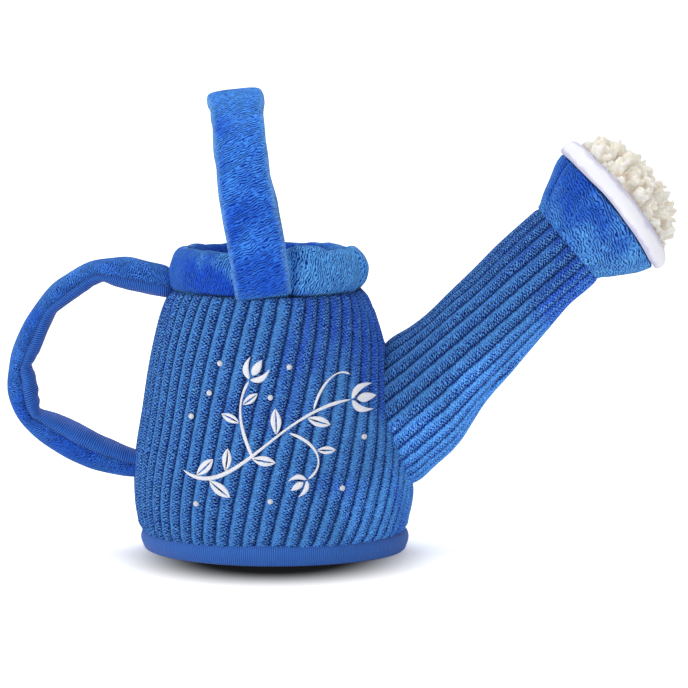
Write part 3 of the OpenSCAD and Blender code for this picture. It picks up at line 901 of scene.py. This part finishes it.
def tuftedFace():
    chance = random.Random(tuft["seed"])
    bm, bunchMesh = bmesh.new(), bpy.data.meshes.new("bunch")
    high, wide = tuft["domeHigh"], tuft["domeWide"]
    for v in bmesh.ops.create_uvsphere(bm, u_segments=32, v_segments=16, radius=1)["verts"]:
        v.co = Vector((v.co.x * wide * 1.15, v.co.y * wide * 1.15, v.co.z * high))
    for i in range(tuft["count"]):
        rise = 1 - (i + 0.5) / tuft["count"] * 0.97
        around = tuft["spiral"] * i + chance.uniform(-0.2, 0.2)
        ring = sqrt(max(0, 1 - rise * rise))
        x, y = ring * cos(around), ring * sin(around)
        normal = Vector((x, y, rise + 0.6)).normalized()
        root = Vector((x * wide, y * wide, rise * high))
        anyWay = Vector([chance.uniform(-1, 1) for _ in range(3)])
        side = normal.cross(anyWay).normalized()
        way = (normal + side * chance.uniform(0.05, 0.5)).normalized()
        curl = side.cross(normal).normalized() * chance.uniform(-1, 1) + side * chance.uniform(-0.6, 0.6)
        across = way.cross(curl).normalized()
        over = across.cross(way).normalized()
        length, width = chance.uniform(*tuft["length"]), chance.uniform(*tuft["width"])
        bunch = bmesh.new()
        for k in range(tuft["fingers"]):
            turn = tau * (k + chance.uniform(-0.3, 0.3)) / tuft["fingers"]
            outward = across * cos(turn) + over * sin(turn)
            reach = length * chance.uniform(0.7, 1)
            for v in bmesh.ops.create_uvsphere(bunch, u_segments=8, v_segments=6, radius=1)["verts"]:
                t = v.co.z * 0.5 + 0.5
                blunt = max(hypot(v.co.x, v.co.y), 0.01) ** -0.6
                thick = width * 0.55 * (1.1 - 0.3 * t) * (1 + 0.12 * sin(t * 15 + i + k)) * blunt
                v.co = (root + way * (t * reach - 1.5 * mm) + curl * (t * t * reach * 0.3)
                        + outward * width * (0.3 + 0.35 * t)
                        + across * v.co.x * thick + over * v.co.y * thick)
        bunch.to_mesh(bunchMesh)
        bunch.free()
        bm.from_mesh(bunchMesh)
    bpy.data.meshes.remove(bunchMesh)
    for v in bm.verts:
        r, angle = hypot(v.co.x, v.co.y), atan2(v.co.y, v.co.x)
        r = min(r, tuft["insideRim"] + max(0, v.co.z - 5 * mm))  # no tuft pushes through the rim
        v.co = rosePoint(rose["length"] + mm + max(v.co.z, -mm) + saddle(angle, r), r, angle)
    bmesh.ops.recalc_face_normals(bm, faces=bm.faces)
    piece = addPiece(bm, "roseFleece", curlyFleece)
    fuse = piece.modifiers.new("fuse", "REMESH")
    fuse.mode, fuse.voxel_size, fuse.use_smooth_shade = "VOXEL", tuft["voxel"], True
    applyModifiers(piece)
    bm = bmesh.new()
    bm.from_mesh(piece.data)
    bmesh.ops.smooth_vert(bm, verts=bm.verts, factor=0.5, use_axis_x=True, use_axis_y=True, use_axis_z=True)
    bm.normal_update()
    for v in bm.verts:
        v.co += v.normal * (ripple(v.co, 0.9 * mm, 2) * tuft["fuzz"])
    bm.to_mesh(piece.data)
    bm.free()
    return piece


settle(tuftedFace(), "can", "fleece", ["rose_fleece"], fill=0.7)
print("rose made")


# handles are flat stuffed tubes along a rail: middles, the way out of the tube there, and length walked
def tubeCloth(name, handle, rail, sides, section, start, end, material, shell=1):
    steps = len(rail) - 1
    middleOut = rail[steps // 4][1].length

    def outline(angle):
        depth, breadth = section(0.25, angle)
        return depth * middleOut, breadth

    turns, girth = evenTurns(outline, start, end, sides)

    def place(s, t):
        i = round(s * steps)
        middle, out, walked = rail[i]
        depth, breadth = section(i / steps, turns[round(t * sides)])
        return middle + out * depth + handle["across"] * breadth, (walked / mm, girth * (0.5 - t))

    return clothGrid(name, steps, sides, place, material, shell)


def crossing(piece, handle, slot, nodes):
    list(handle["bodies"])
    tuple(handle["bend"][0])
    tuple(handle["bend"][1])
    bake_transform(piece)
    describe(slot, nodes, handle["fill"])


# both cloths of a handle and its fill; a cloth: a piece's name, sides round the tube, material, slot, nodes
def sewHandle(handle, rail, section, outer, inner, fillName, fillNode):
    seam, path = handle["seam"], rail(handle["steps"])
    for cloth, start, end in ((outer, -seam, pi + seam), (inner, pi + seam, tau - seam)):
        name, sides, material, slot, nodes = cloth
        piece = tubeCloth(name, handle, path, sides, section, start, end, material)
        crossing(thicken(piece, handle["wall"]), handle, slot, nodes)

    def fillSection(s, angle):
        return section(s, angle, handle["fillShare"] * closing(s, handle["fillCap"]))

    piece = tubeCloth(fillName, handle, rail(60), 12, fillSection, 0, tau, fibreFill, shell=0)
    crossing(piece, handle, "fibre_fill", [fillNode])


strap = dict(
    width=20.4 * mm, thickness=6.6 * mm, squareness=3.6, lean=radians(8.5), rise=59.1,
    halfSpan=collar["outer"] / mm + 3.55, wall=1.2 * mm, seam=radians(24), steps=200,
    bodies=("can", "carry_strap"), fill=0.5, fillShare=0.6, fillCap=0.03,
    **hinges["carry_strap_swing"],
    waists=((0.34, 0.14, 0.09), (0.66, 0.14, 0.09)),  # along it, how wide, how much
    sways=((0.455, 0.04, 0.85), (0.23, 0.08, -1), (0.73, 0.1, -1.7)),
)
leanWay = Vector((cos(strap["lean"]), 0, sin(strap["lean"])))
strap["across"] = (leanWay - strap["hinge"] * leanWay.dot(strap["hinge"])).normalized()
strap["up"] = strap["across"].cross(strap["hinge"]).normalized()
strap["bend"] = strap["joint"] - Vector((0, 0, 11 * mm)), strap["joint"] + Vector((0, 0, 9 * mm))


def strapPath():
    span, rise = strap["halfSpan"], strap["rise"]
    frontHalf = [[(-span + 5, -13.2), (-span + 1.2, -11.3), (-span, -6), (-span, 0)],
                 [(-span, 0), (-span, 36), (-14, rise), (0, rise)]]
    rearHalf = [[(-y, z) for y, z in reversed(piece)] for piece in reversed(frontHalf)]
    return [[strap["joint"] + strap["hinge"] * (y * mm) + strap["up"] * (z * mm) for y, z in piece]
            for piece in frontHalf + rearHalf]


def strapRail(steps):
    points = evenPoints(strapPath(), steps)
    ways = [points[min(i + 1, steps)][0] - points[max(i - 1, 0)][0] for i in range(steps + 1)]
    return [(spot, strap["across"].cross(way.normalized()).normalized(), walked)
            for (spot, walked), way in zip(points, ways)]


def strapSection(s, angle, scale=1):
    across, out = roundedBox(angle, strap["squareness"])
    tuck = smooth(min(s, 1 - s), 0, 0.09)
    half = strap["width"] / 2 * (1.04 - bumps(strap["waists"], s))
    thick = strap["thickness"] / 2 * (1 - 0.10 * bump(s, 0.5, 0.16)) * mix(0.3, 1, tuck)
    flare = 1.3 * mm * bump(s, 0.468, 0.026) * (1 if across < 0 else 0.3)
    wave = ripple(Vector((s * 200, across * 10, out * 4)) * mm, 9 * mm, 3) * 0.4 * mm
    dip = 0.3 * mm * seams(angle, 0.12, -strap["seam"], pi + strap["seam"])
    level = -0.6 * mm * across * bump(s, 0.5, 0.05)  # the crown sits flatter than the strap leans
    breadth = across * ((half + flare) * scale - dip) + mm * bumps(strap["sways"], s)
    return out * thick * scale + wave + level, breadth + wave


sewHandle(strap, strapRail, strapSection,
          ("strapOuter", 26, plush, "plush",
           ["carry_strap_plush", "carry_strap_root_front", "carry_strap_root_rear"]),
          ("strapInner", 16, liningCloth, "lining", ["carry_strap_backing"]),
          "strapFill", "carry_strap_padding")
print("strap made")

grip = dict(
    width=16 * mm, squareness=2.6, wall=1.1 * mm, seam=radians(4), steps=190,
    bodies=("can", "side_handle"), fill=0.6, fillShare=0.62, fillCap=0.05,
    **hinges["side_handle_swing"],
    across=Vector((0, 1, 0)),
    outerEdge=[  # both edges in millimetres, x and z, from the collar round to the base
        [(-34, 104.5), (-43, 108.5), (-53, 111), (-61.2, 110.6)],
        [(-61.2, 110.6), (-80.8, 110.3), (-102.2, 86.2), (-101.7, 61.5)],
        [(-101.7, 61.5), (-102.2, 46.5), (-80, 29.4), (-56, 27)],
        [(-56, 27), (-52, 26.6), (-48, 27.3), (-44, 29)],
    ],
    innerEdge=[  # it kinks where the cloth folds
        [(-35, 94), (-45, 96), (-56, 97.3), (-64.5, 101.4)],
        [(-64.5, 101.4), (-70, 100.5), (-76, 94), (-82.4, 90)],
        [(-82.4, 90), (-85.2, 87), (-85.8, 79.5), (-92.9, 69.5)],
        [(-92.9, 69.5), (-90.5, 67.5), (-90.2, 57), (-89.4, 52.7)],
        [(-89.4, 52.7), (-83.6, 52), (-68, 42.4), (-54, 37.2)],
        [(-54, 37.2), (-50, 35.6), (-47, 35.4), (-44, 35.4)],
    ],
    puckers=((0.535, 0.05, 0.7), (0.65, 0.05, 0.7), (0.22, 0.05, 0.42)),
    waists=((0.5, 0.1, -0.08), (0.8, 0.1, 0.03)),
)
gripOut = Vector((-grip["hinge"].z, 0, grip["hinge"].x)) * 7 * mm
grip["bend"] = grip["joint"] - gripOut, grip["joint"] + gripOut


def gripRail(steps):
    outer, inner = [evenPoints([[Vector((x, 0, z)) * mm for x, z in piece] for piece in grip[edge]], steps)
                    for edge in ("outerEdge", "innerEdge")]
    return [((a + b) / 2, (a - b) / 2, walked) for (a, walked), (b, _) in zip(outer, inner)]


def gripSection(s, angle, scale=1):
    across, out = roundedBox(angle, grip["squareness"])
    ends = mix(0.45, 1, smooth(min(s, 1 - s), 0, 0.05))
    puff = 0.5 * ripple(Vector((s * 130, across * 8, out * 4)) * mm, 8 * mm, 1)
    if out < 0:  # the inner cloth puckers round its folds
        puff += bumps(grip["puckers"], s) * ripple(Vector((s * 150, across * 2, 0)) * mm, 2.6 * mm, 4)
    dip = 1.1 * mm * seams(angle, 0.13, -grip["seam"], pi + grip["seam"])
    breadth = grip["width"] / 2 * (1.02 + bumps(grip["waists"], s))
    return out * ends * scale + puff / 5, across * (breadth * ends * scale - dip) + puff * 0.5 * mm


sewHandle(grip, gripRail, gripSection,
          ("gripOuter", 26, handlePlush, "plush",
           ["side_handle_plush", "side_handle_root_top", "side_handle_root_bottom"]),
          ("gripInner", 26, ribbedKnit, "ribbed_knit", ["side_handle_ribbed"]),
          "gripFill", "side_handle_padding")
print("side handle made")

# a sprig in white satin stitch on the can's front: lengths in millimetres across and up from its middle
sprig = dict(
    height=50, lift=0.75 * mm, thickness=0.5 * mm, gap=0.28, dropRadius=1.05,
    stems={  # a curve, its widest stroke and the size of its bud
        "main": (((-34, -15), (-16, -27), (2, 10), (29, 11)), 1.6, 7.4),
        "branch": (((-7, -10), (-13, 2), (-14, 11), (-9, 19)), 1.35, 6.8),
        "twig": (((6, 0), (16, -3), (21, -12), (13, -17)), 1.2, 5.6),
        "tendril": (((15, 8), (17, 17), (24, 24), (29, 20)), 0.95, 0),
    },
    leaves=(  # its stem, how far along it, on which side, and how long
        ("main", 0.09, 1, 9), ("main", 0.18, -1, 10), ("main", 0.30, 1, 8.5), ("main", 0.46, -1, 9),
        ("main", 0.62, 1, 9.5), ("main", 0.78, -1, 9), ("branch", 0.42, 1, 7.5), ("branch", 0.66, -1, 7),
        ("twig", 0.45, 1, 7)),
    drops=((-31, 5), (-24, 14), (-29, -27), (-1, -25), (6, 24), (-1, 13), (34, -3), (26, -21), (-20, 25)),
)


def frontPoint(x, up, lift):
    z = (sprig["height"] + up) * mm
    across = clamp((x * mm + leanAt(z)) / (sideRadius(z) + can["ribHeight"]), -0.99, 0.99)
    return sidePoint(-acos(across), z, lift)


def flatLine(points):
    return [Vector((x, y, 0)) for x, y in points]


def turned(way):
    return Vector((-way.y, way.x, 0))


def satin(bm, leftEdge, rightEdge, length):  # threads laid across from one edge to the other
    def place(s, t):
        left, right = leftEdge(s), rightEdge(s)
        across, up = roundedBox(tau * t, 2.2)
        here, wide = left.lerp(right, across * 0.5 + 0.5), (left - right).length
        lift = sprig["lift"] + up * sprig["thickness"] * clamp(wide, 0.3, 1)
        return frontPoint(here.x, here.y, lift), (s * length, across * wide / 2)

    layGrid(bm, max(6, round(length / 0.9)), 10, place)


def stroke(bm, line, width):
    def edge(side):
        def spot(s):
            way = (bezier(line, min(1, s + 0.01)) - bezier(line, max(0, s - 0.01))).normalized()
            swell = (0.78 + 0.22 * sin(s * 7)) * sqrt(clamp(min(s, 1 - s) / 0.08))
            return bezier(line, s) + turned(way) * side * width / 2 * swell
        return spot

    length = sum((bezier(line, (k + 1) / 20) - bezier(line, k / 20)).length for k in range(20))
    satin(bm, edge(1), edge(-1), length)


def leaf(bm, root, way, length):  # two halves with the cloth showing between them as its vein
    side = turned(way)
    vein = [root + (way * along + side * aside) * length
            for along, aside in ((0, 0), (0.35, 0), (0.7, 0.03), (1, 0.08))]
    for k in (0.30, -0.27):
        rim = [vein[0], vein[1] + side * length * k, vein[2] + side * length * k, vein[3]]
        gap = side * copysign(sprig["gap"], k)
        satin(bm, lambda s: bezier(rim, s),
              lambda s: bezier(vein, s) + gap * sin(pi * clamp(s * 1.1)), length)


def dot(bm, middle, radius):
    def edge(side):
        return lambda s: middle + Vector((side * sqrt(max(0, 1 - (2 * s - 1) ** 2)), 2 * s - 1, 0)) * radius

    satin(bm, edge(1), edge(-1), 7 * radius)


def bud(bm, root, way, size):
    side = turned(way)

    def petal(*edges):
        first, second = [[root + side * x * size + way * y * size for x, y in edge] for edge in edges]
        satin(bm, lambda s: bezier(first, s), lambda s: bezier(second, s), size * 1.2)

    petal([(0, 0.3), (-0.36, 0.5), (-0.26, 0.95), (0, 1.3)], [(0, 0.3), (0.36, 0.5), (0.26, 0.95), (0, 1.3)])
    for k in (-1, 1):
        petal([(0.05 * k, 0.02), (0.8 * k, 0), (0.78 * k, 0.7), (0.62 * k, 1.12)],
              [(0.05 * k, 0.12), (0.2 * k, 0.35), (0.5 * k, 0.5), (0.62 * k, 1.12)])


def makeSprig():
    bm = bmesh.new()
    bm.loops.layers.uv.new("cloth")
    for points, width, budSize in sprig["stems"].values():
        line = flatLine(points)
        stroke(bm, line, width)
        if budSize:
            way = (line[3] - line[2]).normalized()
            bud(bm, line[3] + way * 0.3, way, budSize)
    for stem, share, side, length in sprig["leaves"]:
        line = flatLine(sprig["stems"][stem][0])
        root = bezier(line, share)
        along = (bezier(line, share + 0.01) - root).normalized()
        leaf(bm, root + turned(along) * side * 0.7, (along * 0.8 + turned(along) * side).normalized(), length)
    for middle in flatLine(sprig["drops"]):
        dot(bm, middle, sprig["dropRadius"])
    bmesh.ops.remove_doubles(bm, verts=bm.verts, dist=0.005 * mm)
    bmesh.ops.recalc_face_normals(bm, faces=bm.faces)
    return addPiece(bm, "sprigStitching", whiteThread)


settle(makeSprig(), "can", "rim_cotton")
print("stitching made")

studio = dict(
    floorSize=12, floorShade=0.95, floorShadeSeen=0.98, skyStrength=0.34,
    lift=0.46,  # brightens the floor that the camera sees, all but the contact shadow
    shadowMiddle=(0, -31 * mm, 0), shadowHalf=(45 * mm, 52 * mm, 1), shadowSoft=(0.58, 1.46),
    lamps={  # strength, softness in degrees, place it shines from
        "topLamp": (1.62, 60, Vector((0.1, 0.7, 1.6))),
        "keyLamp": (1.65, 50, Vector((-1.5, -1.4, 0.75))),
        "sideLamp": (0.88, 50, Vector((1.6, -1.2, 0.15))),
    },
)
view = dict(target=Vector((0.0262, 0, 0.0775)), place=Vector((0.0262, -1.65, 0.266)), lens=228.7)


def seenRays(tree):
    rays = put(tree, "LightPath").outputs
    return calc("MAXIMUM", rays["Is Camera Ray"],
                calc("MAXIMUM", rays["Is Glossy Ray"], rays["Is Transmission Ray"]))


def makeFloor():
    bm = bmesh.new()
    bmesh.ops.create_grid(bm, x_segments=2, y_segments=2, size=studio["floorSize"] / 2)
    material, tree = newMaterial("paleFloor")
    seen = seenRays(tree)
    shade, bright = [(studio[k], studio[k], studio[k], 1) for k in ("floorShade", "floorShadeSeen")]
    # a painted contact shadow: a soft dark oval on the floor in front of the base
    aside = vectorCalc("SUBTRACT", objectPlace(tree), studio["shadowMiddle"])
    away = vectorCalc("LENGTH", vectorCalc("DIVIDE", aside, studio["shadowHalf"]))
    clear = remap(away, *studio["shadowSoft"], 0.01, 1)
    bright = blendColor(clear, (0, 0, 0, 1), bright)
    matte = put(tree, "BsdfDiffuse", {"Color": blendColor(seen, shade, bright)})
    glow = put(tree, "Emission", {"Strength": times(times(clear, studio["lift"]), seen)})
    both = put(tree, "AddShader", {0: matte.outputs[0], 1: glow.outputs[0]})
    tree.links.new(both.outputs[0], tree.nodes["Material Output"].inputs["Surface"])
    tree.nodes.remove(tree.nodes["Principled BSDF"])
    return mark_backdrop(addPiece(bm, "studioFloor", material))


def makeSky():
    world = bpy.data.worlds.new("studioSky")
    world.use_nodes = True
    bpy.context.scene.world = world
    sky = world.node_tree.nodes["Background"].inputs
    sky["Color"].default_value = (1, 1, 1, 1)
    strength = linear(seenRays(world.node_tree), 1 - studio["skyStrength"], studio["skyStrength"])
    world.node_tree.links.new(strength, sky["Strength"])


def aimed(name, data, place):  # a lamp or camera that looks at the can
    thing = bpy.data.objects.new(name, data)
    thing.location = place
    thing.rotation_euler = (view["target"] - place).to_track_quat("-Z", "Y").to_euler()
    bpy.context.scene.collection.objects.link(thing)
    return thing


def makeLamp(name, strength, softness, place):
    lamp = bpy.data.lights.new(name, "SUN")
    lamp.energy, lamp.angle = strength, radians(softness)
    aimed(name, lamp, place)


def makeCamera():
    camera = bpy.data.cameras.new("camera")
    camera.lens, camera.sensor_width = view["lens"], 36
    bpy.context.scene.camera = aimed("camera", camera, view["place"])


makeFloor()
makeSky()
for lampName, settings in studio["lamps"].items():
    makeLamp(lampName, *settings)
makeCamera()
bpy.context.scene.view_settings.view_transform = "Standard"
print("studio made")

bpy.context.view_layer.update()
